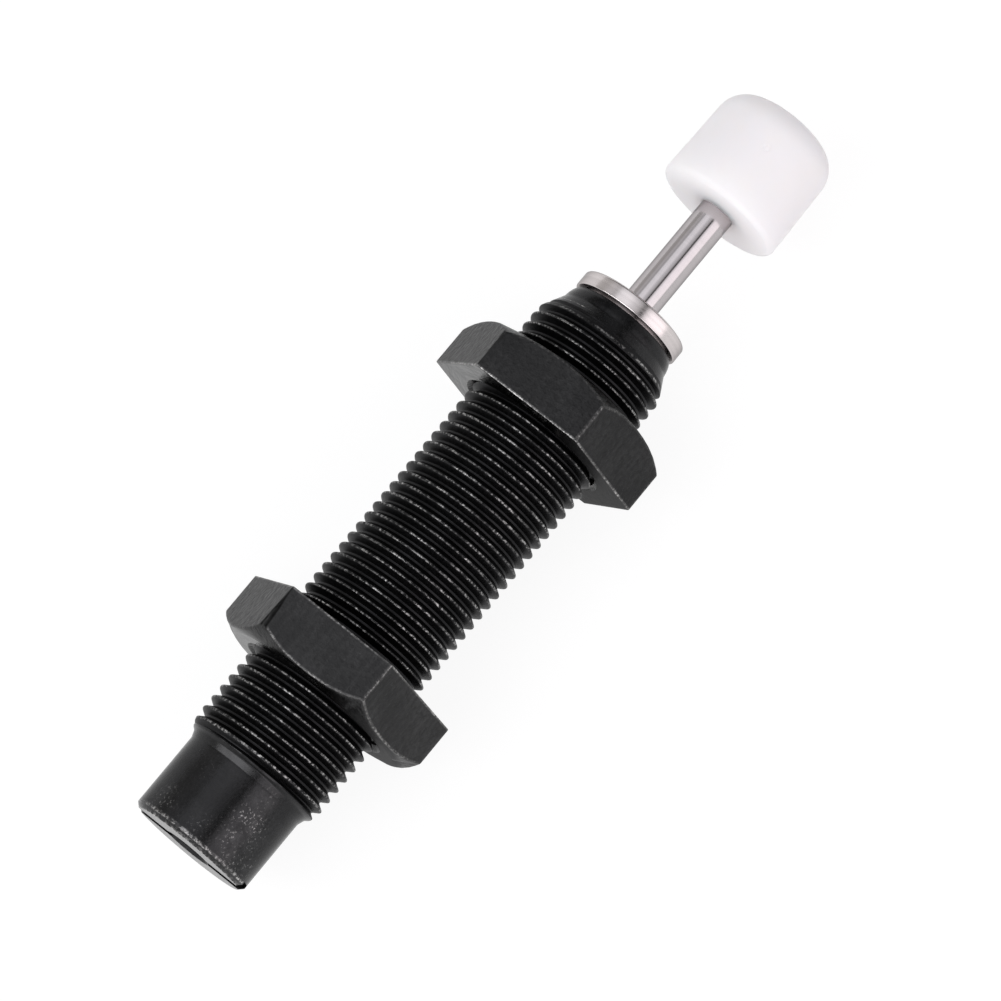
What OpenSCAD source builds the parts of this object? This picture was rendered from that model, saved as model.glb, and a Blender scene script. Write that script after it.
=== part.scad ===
// Self-compensating hydraulic shock absorber with a fully threaded body and two jam nuts.
// The axis lies on +X, from the closed rear end at the origin to the bumper.
// A turned piece is a profile of [radius, distance from the rear face], revolved about the axis.

/* [Body] */
// Major diameter of the body thread
thread_d = 11.8; // [11.4:0.1:13]
// Length of the thread, from the rear shoulder to the nose
thread_len = 41.6; // [40:0.1:60]
// Length of the plain rear end
rear_len = 6.1; // [4:0.1:10]
// Pitch of the thread
thread_pitch = 1; // [0.75:0.25:1.25]
// Height of the thread above the plain rear end
rear_step = 0.78; // [0.5:0.01:1]
// Chamfer on the edge of the rear face
rear_edge = 0.35; // [0.1:0.05:0.6]
// Length of the cone between the plain rear end and the thread
shoulder_len = 0.9; // [0.5:0.1:1.5]
// Diameter of the main bore
bore_d = 8.6; // [8:0.1:9.2]
// Thickness of the rear wall, from the rear face to the floor of the bore
rear_wall = 7.4; // [7:0.1:8.5]

/* [Nose] */
// Length of the steep chamfer at the end of the thread
nose_chamfer_len = 1.9; // [0.8:0.1:2.4]
// Radial drop of the steep chamfer
nose_chamfer_drop = 1.02; // [0.5:0.01:1.1]
// Length of the rolled cone in front of the chamfer
nose_cone_len = 1.1; // [0.8:0.1:2.5]
// Radial drop of the rolled cone
nose_cone_drop = 0.32; // [0.2:0.01:0.5]
// Length of the lip that is rolled in over the gland
lip_len = 2.1; // [1.5:0.1:2.5]
// Depth of the lip inside the main bore
lip_depth = 0.4; // [0.2:0.05:0.6]

/* [Rear face] */
// Width of the screwdriver slot
slot_w = 1.6; // [1:0.1:2.4]
// Depth of the screwdriver slot
slot_depth = 0.6; // [0.3:0.05:1]
// Diameter of the fill hole
fill_d = 3.5; // [3:0.1:4]
// Chamfer at the mouth of the fill hole
fill_chamfer = 0.25; // [0.1:0.05:0.5]
// Depth of the fill hole down to its drill cone
fill_depth = 5.4; // [5.2:0.1:5.8]
// Diameter of the passage from the fill hole to the bore
passage_d = 1.5; // [1:0.1:1.8]
// Angle between the axis and the drill cone
drill_angle = 59; // [45:1:65]
// Diameter of the sealing ball
ball_d = 3; // [2.4:0.1:3.2]
// Depth of the plug below the rear face
plug_recess = 0.9; // [0.7:0.1:1.2]
// Hexagon socket of the plug, across flats
plug_key = 1.5; // [1:0.1:2]
// Depth of the socket
plug_key_depth = 1.2; // [0.6:0.1:1.4]

/* [Jam nuts] */
// Width across the flats
nut_af = 16.4; // [16:0.1:19]
// Thickness of a nut
nut_t = 4.4; // [3:0.1:6]
// Angle of the chamfer on the outer side of a nut
nut_chamfer_angle = 30; // [15:1:40]
// Diameter of the round face that the chamfer leaves
nut_face_d = 15.1; // [14.5:0.1:16]
// Countersink at both ends of a nut's bore, radial
nut_sink = 0.4; // [0.2:0.05:0.7]
// Distance of the rear nut from the start of the thread
rear_nut_pos = 7.58; // [0.2:0.02:12]
// Distance of the front nut's flat face from the end of the thread
front_nut_pos = 8; // [4.5:0.1:16]

/* [Stop collar] */
// Radial overhang of the collar beyond the tip of the nose
collar_overhang = 0.17; // [0.05:0.01:0.4]
// Thickness of the collar
collar_t = 1.3; // [0.6:0.1:2]
// Gap between the nose and the collar
collar_gap = 0.23; // [0.1:0.01:0.5]
// Chamfer on the rear edge of the collar
collar_chamfer = 0.15; // [0.05:0.05:0.25]
// Edge radius on the front of the collar
collar_edge = 0.2; // [0.1:0.05:0.3]

/* [Rod and bumper] */
// Diameter of the piston rod
rod_d = 2.9; // [2.6:0.1:3.2]
// Stroke
stroke = 10; // [6:0.5:11]
// Diameter of the rod's tail, which carries the piston
tail_d = 2.2; // [1.6:0.1:2.4]
// Chamfer on the front end of the rod
rod_chamfer = 0.3; // [0.1:0.05:0.5]
// Depth of the rod in the bumper
cap_grip = 5; // [3:0.1:6]
// Length of the bumper
cap_len = 8.95; // [7.5:0.05:14]
// Diameter of the bumper at its rear
cap_d = 10.48; // [9:0.02:10.6]
// Taper of the bumper towards its front, on the diameter
cap_taper = 0.28; // [0:0.02:1]
// Edge radius at the rear of the bumper
cap_rear_edge = 0.5; // [0.2:0.1:1.2]
// Edge radius at the front of the bumper
cap_front_edge = 2.3; // [0.5:0.1:2.5]
// Depth of the snap groove that holds the bumper on the rod
cap_groove = 0.2; // [0.1:0.05:0.3]

/* [Pressure tube] */
// Width of the oil passage between the tube and the main bore
oil_gap = 0.6; // [0.4:0.05:0.8]
// Wall of the tube
tube_wall = 0.7; // [0.5:0.05:0.8]
// Number of metering orifices
orifices = 5; // [3:1:8]
// Diameter of a metering orifice
orifice_d = 0.7; // [0.3:0.05:0.9]
// Turn from one orifice to the next
orifice_turn = 72; // [30:1:120]
// Diameter of a return port
port_d = 1; // [0.6:0.1:1.2]
// Number of return ports
ports = 3; // [2:1:6]

/* [Piston and check valve] */
// Thickness of the piston's flange
piston_flange_t = 1.5; // [1:0.1:2]
// Diameter of the piston's hub
hub_d = 3.8; // [3.4:0.1:4]
// Width of the check ring
check_w = 1.8; // [1.2:0.1:2.2]
// Radial wall of the check ring
check_wall = 0.68; // [0.5:0.02:0.75]
// Travel of the check ring between its two seats
check_float = 0.3; // [0.1:0.05:0.5]
// Thickness of the slotted valve plate
valve_t = 0.8; // [0.6:0.1:1.2]
// Width of an oil notch in the valve plate
valve_notch_w = 1.2; // [0.6:0.1:1.6]
// Number of oil notches
notches = 4; // [3:1:5]
// Thickness of the peened head on the rod's tail
peen_t = 0.4; // [0.2:0.1:0.6]
// Overhang of the peened head
peen_lip = 0.3; // [0.1:0.05:0.4]

/* [Return spring] */
// Diameter of the spring wire
wire_d = 0.55; // [0.4:0.05:0.6]
// Working turns of the spring
spring_turns = 11; // [8:1:12]
// Closed turns at each end
closed_turns = 1; // [1:1:2]
// Gap between the spring and the tube
spring_gap = 0.3; // [0.15:0.05:0.4]
// Thickness of the rear spring seat
seat_t = 0.8; // [0.5:0.1:1.2]
// Length of the pilot that centres the spring
pilot_len = 1.2; // [0.6:0.1:2]
// Diameter of the oil hole in the spring seat
seat_hole_d = 1.6; // [1:0.1:2]

/* [Rod bearing and accumulator] */
// Length of the stop nose on which the piston rests
stop_nose_len = 1.65; // [1.4:0.05:2.5]
// Diameter of the stop nose
stop_nose_d = 4.4; // [4:0.1:4.8]
// Length of the spigot that closes the tube
spigot_len = 1; // [0.6:0.1:1.5]
// Thickness of the bearing's two flanges
bearing_flange_t = 1.2; // [0.8:0.1:1.5]
// Length of the neck between the flanges
neck_len = 7; // [5:0.1:7.2]
// Diameter of the neck
neck_d = 5; // [4.6:0.1:5.6]
// Radial depth of the relief in the middle of the bearing's bore
relief = 0.3; // [0.1:0.05:0.5]
// Length of the bearing lands at both ends of the bore
land_len = 2.6; // [1.5:0.1:3.5]

/* [Gland and seals] */
// Length of the gland
gland_len = 6.2; // [6:0.1:6.8]
// Diameter of the seal pocket
seal_pocket_d = 6.6; // [6:0.1:6.8]
// Depth of the seal pocket
seal_pocket_len = 3.4; // [3:0.1:3.5]
// Thickness of the backup washer
backup_t = 0.6; // [0.4:0.05:0.8]
// Diameter of the wiper pocket
wiper_pocket_d = 6; // [5.4:0.1:6.6]
// Depth of the wiper pocket
wiper_pocket_len = 1.6; // [1.2:0.1:1.6]
// Section of the gland's O-ring
o_ring_d = 0.8; // [0.6:0.05:0.9]

/* [Fits] */
// Radial clearance of the nuts on the thread
nut_fit = 0.05; // [0.02:0.01:0.1]
// Radial running clearance of the rod and of the check ring
run_fit = 0.02; // [0.01:0.005:0.04]
// Radial clearance of pieces that are seated for good
seat_fit = 0.01; // [0.005:0.005:0.03]
// Radial clearance of the piston's flange in the tube
flange_fit = 0.15; // [0.1:0.01:0.25]
// Gap at a stop that moving pieces meet
stop_gap = 0.02; // [0.01:0.01:0.05]
// Radial clearance of the rod in the collar and the gland
rod_pass = 0.15; // [0.08:0.01:0.25]

/* [Hidden] */
$fn = 96;

black_oxide = [0.12, 0.12, 0.13];
nickel = [0.72, 0.69, 0.68];
chrome = [0.8, 0.79, 0.8];
nylon = [0.95, 0.92, 0.93];
steel = [0.55, 0.56, 0.58];
bronze = [0.68, 0.48, 0.27];
black_rubber = [0.09, 0.09, 0.09];
grey_foam = [0.35, 0.35, 0.37];

over = 0.1;                    // how far a cut runs past the face that it opens
thread_r = thread_d / 2;
rear_r = thread_r - rear_step;
thread_depth = 5 / 8 * thread_pitch * cos(30);    // of a 60 degree thread
root_r = thread_r - thread_depth;
bore_r = bore_d / 2;
rod_r = rod_d / 2;
tail_r = tail_d / 2;

// Stations along the axis
thread_x = rear_len + shoulder_len;
thread_end_x = thread_x + thread_len;
nose_mid_x = thread_end_x + nose_chamfer_len;
fade_x = thread_end_x + thread_depth * nose_chamfer_len / nose_chamfer_drop;
body_end_x = nose_mid_x + nose_cone_len;
lip_x = body_end_x - lip_len;
gland_x = lip_x - gland_len;
bearing_front_x = gland_x - bearing_flange_t;
neck_x = bearing_front_x - neck_len;
tube_end_x = neck_x - bearing_flange_t;
spigot_x = tube_end_x - spigot_len;
stop_x = spigot_x - stop_nose_len;
piston_end_x = stop_x - stop_gap;
groove_end_x = piston_end_x - piston_flange_t;
groove_x = groove_end_x - check_w - check_float - 2 * stop_gap;
valve_x = groove_x - valve_t;
tail_x = valve_x - peen_t;
seat_x = rear_wall + seat_t;
collar_x = body_end_x + collar_gap;
collar_end_x = collar_x + collar_t;
cap_x = collar_end_x + stop_gap + stroke;
rod_end_x = cap_x + cap_grip;
rear_nut_x = thread_x + rear_nut_pos;
front_nut_x = thread_end_x - front_nut_pos;

// Radii that follow from the fits
nose_mid_r = thread_r - nose_chamfer_drop;
nose_end_r = nose_mid_r - nose_cone_drop;
lip_r = bore_r - lip_depth;
collar_r = nose_end_r + collar_overhang;
nut_corner_r = nut_af / 2 / cos(30);
nut_bore_r = thread_r + nut_fit;
in_bore_r = bore_r - seat_fit;
tube_r = bore_r - oil_gap;
tube_ir = tube_r - tube_wall;
flange_r = tube_ir - flange_fit;
check_r = tube_ir - run_fit;
run_r = rod_r + run_fit;
pass_r = rod_r + rod_pass;
spring_r = tube_ir - spring_gap - wire_d / 2;

function arc(centre, r, from, to, steps) = [
    for (i = [0 : steps])
        let (a = from + (to - from) * i / steps)
        centre + r * [cos(a), sin(a)]
];

// Comb whose teeth cut the grooves of a 60 degree thread as rings, a pitch apart. Each groove
// leaves a crest an eighth of the pitch wide and narrows to a root a quarter of the pitch wide.
function groove_comb(x0, x1, crest_r, root_r, pitch) = concat(
    [for (x = [x0 + pitch / 2 : pitch : x1])
        each [
            [crest_r + over, x - pitch * 7 / 16], [crest_r, x - pitch * 7 / 16],
            [root_r, x - pitch / 8], [root_r, x + pitch / 8],
            [crest_r, x + pitch * 7 / 16], [crest_r + over, x + pitch * 7 / 16]
        ]],
    [[crest_r + 2 * over, x1 + pitch], [crest_r + 2 * over, x0]]
);

function ring(r_in, r_out, x0, x1) = [[r_in, x0], [r_out, x0], [r_out, x1], [r_in, x1]];

module along_x() {
    rotate([0, 90, 0]) children();
}

module turned(profile) {
    along_x() rotate_extrude() polygon(profile);
}

// Radial holes through a wall, drilled outwards from the axis
module drill_out(x, turn, d, reach) {
    translate([x, 0, 0]) rotate([turn, 0, 0]) cylinder(d = d, h = reach);
}

// Square notches in the rim of a flange, from radius r_in outwards
module rim_notches(x0, x1, r_in, w, count) {
    for (i = [0 : count - 1])
        rotate([i * 360 / count, 0, 0])
            translate([x0 - over, -w / 2, r_in])
                cube([x1 - x0 + 2 * over, w, thread_r]);
}

// ---- Body and what closes it ----

module outer_body() {
    cone_len = (fill_d - passage_d) / 2 / tan(drill_angle);
    color(black_oxide) difference() {
        turned([
            [0, 0],
            [rear_r - rear_edge, 0],
            [rear_r, rear_edge],
            [rear_r, rear_len],
            [root_r, thread_x],
            [thread_r, thread_x + thread_depth],
            [thread_r, thread_end_x],
            [nose_mid_r, nose_mid_x],
            [nose_end_r, body_end_x],
            [0, body_end_x]
        ]);
        turned([
            [0, rear_wall],
            [bore_r, rear_wall],
            [bore_r, lip_x],
            [lip_r, lip_x],
            [lip_r, body_end_x + over],
            [0, body_end_x + over]
        ]);
        turned([
            [0, -over],
            [fill_d / 2 + fill_chamfer + over, -over],
            [fill_d / 2, fill_chamfer],
            [fill_d / 2, fill_depth],
            [passage_d / 2, fill_depth + cone_len],
            [passage_d / 2, rear_wall + over],
            [0, rear_wall + over]
        ]);
        translate([-over, -thread_r, -slot_w / 2])
            cube([slot_depth + over, thread_d, slot_w]);
        turned(groove_comb(thread_x, fade_x, thread_r, root_r, thread_pitch));
    }
}

// The ball lies on the drill cone: its centre is one radius from the cone's wall
cone_tip_x = fill_depth + fill_d / 2 / tan(drill_angle);
ball_x = cone_tip_x - (ball_d / 2 + seat_fit) / sin(drill_angle);

module plug_ball() {
    color(steel) translate([ball_x, 0, 0]) sphere(d = ball_d);
}

module fill_plug() {
    plug_r = fill_d / 2 - seat_fit;
    plug_end_x = ball_x - ball_d / 2 - seat_fit;
    plug_edge = 0.2;
    color(black_oxide) difference() {
        turned([
            [0, plug_recess],
            [plug_r - plug_edge, plug_recess],
            [plug_r, plug_recess + plug_edge],
            [plug_r, plug_end_x - plug_edge],
            [plug_r - plug_edge, plug_end_x],
            [0, plug_end_x]
        ]);
        translate([plug_recess - over, 0, 0])
            along_x() cylinder(d = plug_key / cos(30), h = plug_key_depth + over, $fn = 6);
    }
}

// The flange shows in front of the nose; its shank sits in the rolled lip, on the gland
module stop_collar() {
    shank_r = lip_r - seat_fit;
    mouth = 0.2;
    color(nickel) turned(concat(
        [
            [pass_r, lip_x],
            [shank_r, lip_x],
            [shank_r, collar_x],
            [collar_r - collar_chamfer, collar_x],
            [collar_r, collar_x + collar_chamfer]
        ],
        arc([collar_r - collar_edge, collar_end_x - collar_edge], collar_edge, 0, 90, 5),
        [
            [pass_r + mouth, collar_end_x],
            [pass_r, collar_end_x - mouth]
        ]
    ));
}

// ---- Jam nuts ----

// Flat face at x = 0, chamfered face at x = nut_t, hexagon flats above and below
module jam_nut() {
    blank_r = nut_corner_r + over;
    chamfer_len = (blank_r - nut_face_d / 2) * tan(nut_chamfer_angle);
    sink_r = nut_bore_r + nut_sink;
    color(black_oxide) difference() {
        intersection() {
            along_x() rotate([0, 0, 30]) cylinder(r = nut_corner_r, h = nut_t, $fn = 6);
            turned([
                [0, 0],
                [blank_r, 0],
                [blank_r, nut_t - chamfer_len],
                [nut_face_d / 2, nut_t],
                [0, nut_t]
            ]);
        }
        turned([
            [0, -over],
            [sink_r + over, -over],
            [nut_bore_r, nut_sink],
            [nut_bore_r, nut_t - nut_sink],
            [sink_r + over, nut_t + over],
            [0, nut_t + over]
        ]);
    }
}

module rear_nut() {
    translate([rear_nut_x + nut_t, 0, 0]) mirror([1, 0, 0]) jam_nut();
}

module front_nut() {
    translate([front_nut_x, 0, 0]) jam_nut();
}

// ---- Pressure tube ----

// Under an even deceleration the speed falls with the root of the stroke that is left, so
// orifice k closes after the share 1 - (1 - k/n)^2 of the stroke
function orifice_x(k) = groove_x - orifice_d / 2
    - (stroke - orifice_d) * (1 - pow(1 - k / orifices, 2));

module pressure_tube() {
    port_x = stop_x + stop_nose_len / 2;
    color(steel) difference() {
        turned(ring(tube_ir, tube_r, rear_wall, tube_end_x));
        for (k = [1 : orifices])
            drill_out(orifice_x(k), k * orifice_turn, orifice_d, bore_r);
        for (k = [0 : ports - 1])
            drill_out(port_x, k * 360 / ports, port_d, bore_r);
    }
}

module spring_seat() {
    pilot_r = spring_r - wire_d / 2 - run_fit;
    pilot_edge = 0.3;
    color(steel) turned([
        [seat_hole_d / 2, rear_wall],
        [tube_ir - seat_fit, rear_wall],
        [tube_ir - seat_fit, seat_x],
        [pilot_r, seat_x],
        [pilot_r, seat_x + pilot_len - pilot_edge],
        [pilot_r - pilot_edge, seat_x + pilot_len],
        [seat_hole_d / 2, seat_x + pilot_len]
    ]);
}

// ---- Return spring: round wire along a helix that closes at both ends ----

steps_per_turn = 18;
wire_sides = 8;
all_turns = spring_turns + 2 * closed_turns;
spring_x0 = seat_x + wire_d / 2 + stop_gap;
spring_x1 = valve_x - wire_d / 2 - stop_gap;
closed_rise = closed_turns * (wire_d + stop_gap);
working_rise = (spring_x1 - spring_x0 - 2 * closed_rise) / spring_turns;

// Distance along the axis after t turns
function helix_x(t) =
    t < closed_turns ? spring_x0 + t * (wire_d + stop_gap)
    : t > all_turns - closed_turns ? spring_x1 - (all_turns - t) * (wire_d + stop_gap)
    : spring_x0 + closed_rise + (t - closed_turns) * working_rise;

// One ring of the wire's skin, in the plane that holds the axis
function wire_ring(t) = [
    for (j = [0 : wire_sides - 1])
        let (
            a = 360 * j / wire_sides,
            r = spring_r + wire_d / 2 * cos(a)
        )
        [helix_x(t) + wire_d / 2 * sin(a), r * cos(360 * t), r * sin(360 * t)]
];

module return_spring() {
    rings = all_turns * steps_per_turn;
    points = [for (i = [0 : rings]) each wire_ring(i / steps_per_turn)];
    sides = [
        for (i = [0 : rings - 1], j = [0 : wire_sides - 1])
            let (
                a = i * wire_sides + j,
                b = i * wire_sides + (j + 1) % wire_sides
            )
            each [[a, b, b + wire_sides], [a, b + wire_sides, a + wire_sides]]
    ];
    first_end = [for (j = [0 : wire_sides - 1]) wire_sides - 1 - j];
    last_end = [for (j = [0 : wire_sides - 1]) rings * wire_sides + j];
    color(steel) polyhedron(points, concat([first_end], sides, [last_end]), 2);
}

// ---- Rod bearing, accumulator and gland ----

module rod_bearing() {
    color(bronze) difference() {
        turned([
            [run_r, stop_x],
            [stop_nose_d / 2, stop_x],
            [stop_nose_d / 2, spigot_x],
            [tube_ir - seat_fit, spigot_x],
            [tube_ir - seat_fit, tube_end_x],
            [in_bore_r, tube_end_x],
            [in_bore_r, neck_x],
            [neck_d / 2, neck_x],
            [neck_d / 2, bearing_front_x],
            [in_bore_r, bearing_front_x],
            [in_bore_r, gland_x],
            [run_r, gland_x],
            [run_r, gland_x - land_len],
            [run_r + relief, gland_x - land_len],
            [run_r + relief, stop_x + land_len],
            [run_r, stop_x + land_len]
        ]);
        rim_notches(tube_end_x, neck_x, tube_r - run_fit, valve_notch_w, notches);
    }
}

module accumulator_foam() {
    color(grey_foam)
        turned(ring(neck_d / 2 + stop_gap, in_bore_r, neck_x + stop_gap, bearing_front_x - stop_gap));
}

web_x = gland_x + seal_pocket_len;
wiper_x = lip_x - wiper_pocket_len;
o_groove_x = (web_x + wiper_x) / 2;
o_groove_r = bore_r - o_ring_d;

module gland() {
    half_w = o_ring_d / 2 + 2 * run_fit;
    color(steel) turned([
        [seal_pocket_d / 2, gland_x],
        [in_bore_r, gland_x],
        [in_bore_r, o_groove_x - half_w],
        [o_groove_r, o_groove_x - half_w],
        [o_groove_r, o_groove_x + half_w],
        [in_bore_r, o_groove_x + half_w],
        [in_bore_r, lip_x],
        [wiper_pocket_d / 2, lip_x],
        [wiper_pocket_d / 2, wiper_x],
        [pass_r, wiper_x],
        [pass_r, web_x],
        [seal_pocket_d / 2, web_x]
    ]);
}

module gland_o_ring() {
    section_r = o_ring_d / 2 - seat_fit;
    color(black_rubber) translate([o_groove_x, 0, 0]) along_x()
        rotate_extrude() translate([o_groove_r + o_ring_d / 2, 0]) circle(r = section_r);
}

module seal_backup() {
    color(nylon) turned(ring(run_r, seal_pocket_d / 2 - seat_fit, web_x - backup_t, web_x));
}

// U-cup: the groove faces the oil, so that pressure spreads its two lips
module rod_seal() {
    seal_r = seal_pocket_d / 2 - seat_fit;
    heel_x = web_x - backup_t;
    mid_r = (run_r + seal_r) / 2;
    lip_w = (seal_r - run_r) / 5;
    lip_bevel = 0.3;
    cup_depth = (heel_x - gland_x) / 2;
    toe_x = gland_x + stop_gap;
    color(black_rubber) turned([
        [run_r, toe_x + lip_bevel],
        [run_r + lip_w, toe_x],
        [mid_r, toe_x + cup_depth],
        [seal_r - lip_w, toe_x],
        [seal_r, toe_x + lip_bevel],
        [seal_r, heel_x],
        [run_r, heel_x]
    ]);
}

// The lip points outwards and keeps dirt off the rod seal
module rod_wiper() {
    wiper_r = wiper_pocket_d / 2 - seat_fit;
    wiper_end_x = lip_x - stop_gap;
    body_len = (wiper_end_x - wiper_x) * 0.6;
    lip_w = 0.35;
    color(black_rubber) turned([
        [run_r + lip_w, wiper_x],
        [wiper_r, wiper_x],
        [wiper_r, wiper_x + body_len],
        [run_r + 2 * lip_w, wiper_x + body_len],
        [run_r + lip_w, wiper_end_x],
        [run_r, wiper_end_x]
    ]);
}

// ---- Piston rod and what it carries ----

snap_x = cap_x + cap_grip * 0.6;
snap_w = 0.8;

module piston_rod() {
    head_edge = 0.1;
    color(chrome) turned([
        [0, tail_x],
        [tail_r + peen_lip - head_edge, tail_x],
        [tail_r + peen_lip, tail_x + head_edge],
        [tail_r + peen_lip, valve_x],
        [tail_r, valve_x],
        [tail_r, piston_end_x],
        [rod_r, piston_end_x],
        [rod_r, snap_x],
        [rod_r - cap_groove, snap_x],
        [rod_r - cap_groove, snap_x + snap_w],
        [rod_r, snap_x + snap_w],
        [rod_r, rod_end_x - rod_chamfer],
        [rod_r - rod_chamfer, rod_end_x],
        [0, rod_end_x]
    ]);
}

// Moulded bumper: a slightly tapered plug with rounded edges and a blind bore that snaps on the rod
module bumper_cap() {
    rear_r = cap_d / 2;
    front_r = rear_r - cap_taper / 2;
    front_x = cap_x + cap_len;
    grip_r = rod_r + seat_fit;
    color(nylon) turned(concat(
        [
            [0, rod_end_x + stop_gap],
            [grip_r, rod_end_x + stop_gap],
            [grip_r, snap_x + snap_w - seat_fit],
            [grip_r - cap_groove, snap_x + snap_w - seat_fit],
            [grip_r - cap_groove, snap_x + seat_fit],
            [grip_r, snap_x + seat_fit],
            [grip_r, cap_x]
        ],
        arc([rear_r - cap_rear_edge, cap_x + cap_rear_edge], cap_rear_edge, -90, 0, 6),
        arc([front_r - cap_front_edge, front_x - cap_front_edge], cap_front_edge, 0, 90, 8),
        [[0, front_x]]
    ));
}

module piston() {
    flange_edge = 0.15;
    color(steel) turned([
        [tail_r + seat_fit, groove_x],
        [hub_d / 2, groove_x],
        [hub_d / 2, groove_end_x],
        [flange_r, groove_end_x],
        [flange_r, piston_end_x - flange_edge],
        [flange_r - flange_edge, piston_end_x],
        [tail_r + seat_fit, piston_end_x]
    ]);
}

// The ring floats: pushed forwards it closes on the flange, pushed back it opens over the notches
module check_ring() {
    ring_end_x = groove_end_x - stop_gap;
    color(bronze) turned(ring(check_r - check_wall, check_r, ring_end_x - check_w, ring_end_x));
}

module valve_plate() {
    color(steel) difference() {
        turned(ring(tail_r + seat_fit, flange_r, valve_x, groove_x));
        rim_notches(valve_x, groove_x, hub_d / 2 + 0.1, valve_notch_w, notches);
    }
}

outer_body();
fill_plug();
plug_ball();
rear_nut();
front_nut();
stop_collar();
pressure_tube();
spring_seat();
return_spring();
rod_bearing();
accumulator_foam();
gland();
gland_o_ring();
rod_seal();
seal_backup();
rod_wiper();
piston_rod();
bumper_cap();
piston();
valve_plate();
check_ring();
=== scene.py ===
import math

import bmesh
import bpy
import numpy as np
from mathutils import Matrix, Vector


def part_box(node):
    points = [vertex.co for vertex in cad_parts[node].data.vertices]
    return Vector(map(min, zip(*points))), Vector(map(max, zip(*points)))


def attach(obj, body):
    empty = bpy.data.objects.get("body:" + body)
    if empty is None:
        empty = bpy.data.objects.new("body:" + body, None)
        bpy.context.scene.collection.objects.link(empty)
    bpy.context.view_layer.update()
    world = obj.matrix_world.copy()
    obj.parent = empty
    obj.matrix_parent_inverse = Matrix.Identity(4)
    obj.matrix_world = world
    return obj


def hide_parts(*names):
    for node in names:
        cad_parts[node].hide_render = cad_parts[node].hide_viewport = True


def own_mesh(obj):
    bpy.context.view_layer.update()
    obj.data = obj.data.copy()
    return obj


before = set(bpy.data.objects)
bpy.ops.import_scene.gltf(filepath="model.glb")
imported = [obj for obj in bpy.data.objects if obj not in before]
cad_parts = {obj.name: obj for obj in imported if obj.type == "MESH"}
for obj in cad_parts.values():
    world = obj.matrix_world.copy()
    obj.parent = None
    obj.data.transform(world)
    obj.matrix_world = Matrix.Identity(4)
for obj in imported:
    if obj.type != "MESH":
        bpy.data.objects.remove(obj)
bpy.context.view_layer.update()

MM = 0.001
TAU = 2 * math.pi


# ---- Sizes in millimetres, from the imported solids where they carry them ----

def span(node, axis):
    """Lowest and highest coordinate of a node along one axis, in millimetres."""
    lo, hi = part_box(node)
    return lo[axis] / MM, hi[axis] / MM


# Body and its thread
BODY_END = span("outer_body", 0)[1]
CREST_R = span("outer_body", 1)[1]
ROOT_R = CREST_R - 0.54
PITCH = 1.0
CREST_START = 0.795            # a crest crosses the +Y side here, and every millimetre after it
REAR_R = CREST_R - 0.78
REAR_EDGE = 0.35               # chamfer round the rear face
REAR_LEN = 6.45
THREAD_FROM, THREAD_TO = 6.95, 50.4
RUN_OUT_FROM, RUN_OUT_LEN = 7.2, 0.6
NOSE_FROM = 48.6
THREAD_FINISH = (7.4, 49.6)    # stations between which the body has the thread's own finish
SLOT_HALF, SLOT_DEPTH = 0.8, 0.6
BELOW_SLOT = 0.9               # from here on every ring of the body is whole

# Fill hole, passage, bore and lip
FILL_R, FILL_CHAMFER, FILL_DEPTH = 1.75, 0.25, 5.4
PASSAGE_R, CONE_END = 0.75, 6.0
BORE_R, REAR_WALL = 4.3, 7.4
LIP_R, LIP_X = 3.9, 49.5

# Jam nuts
NUT_T = 4.4
NUT_HALF_AF = span("rear_nut", 2)[1]
NUT_FACE_R = 7.55
NUT_BORE_R = CREST_R + 0.05
NUT_SINK = 0.4
SINK_R = NUT_BORE_R + NUT_SINK
CORNER_REACH = NUT_HALF_AF / math.cos(math.radians(30)) - NUT_FACE_R
CHAMFER_SLOPE = math.tan(math.radians(30))
CHAMFER_POWER = 1.8
RUBBED_FAR, RUBBED_NEAR = 0.54, 0.42
FRONT_NUT_TURN = -1.0
# Where the thread starts in the countersink of either face, as a share of a turn
START_AT_CHAMFER, START_AT_FLAT = 0.28, 0.62

# Collar, rod, bumper and spring
COLLAR_FROM_NOSE = BODY_END + 0.23
COLLAR_END = span("stop_collar", 0)[1]
COLLAR_R = span("stop_collar", 1)[1]
ROD_R = 1.45
PISTON_FRONT = 31.23
CAP_X, CAP_END = span("bumper_cap", 0)
CAP_R = span("bumper_cap", 1)[1]
GATE_X, GATE_ANGLE = CAP_X + 5.05, 99.5
WIRE_D, WORKING_TURNS, CLOSED_TURNS, COIL_GAP = 0.55, 11, 1, 0.02


# ---- Meshes from arrays ----

def grid_faces(rows, cols, first=0, closed=True):
    """Quads of a grid with rows x cols corners, row by row. A closed grid joins its last
    column to its first."""
    i, j = np.meshgrid(np.arange(rows - 1), np.arange(cols - (0 if closed else 1)), indexing="ij")
    k = (j + 1) % cols
    corners = [i * cols + j, i * cols + k, (i + 1) * cols + k, (i + 1) * cols + j]
    return first + np.stack(corners, -1).reshape(-1, 4)


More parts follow.
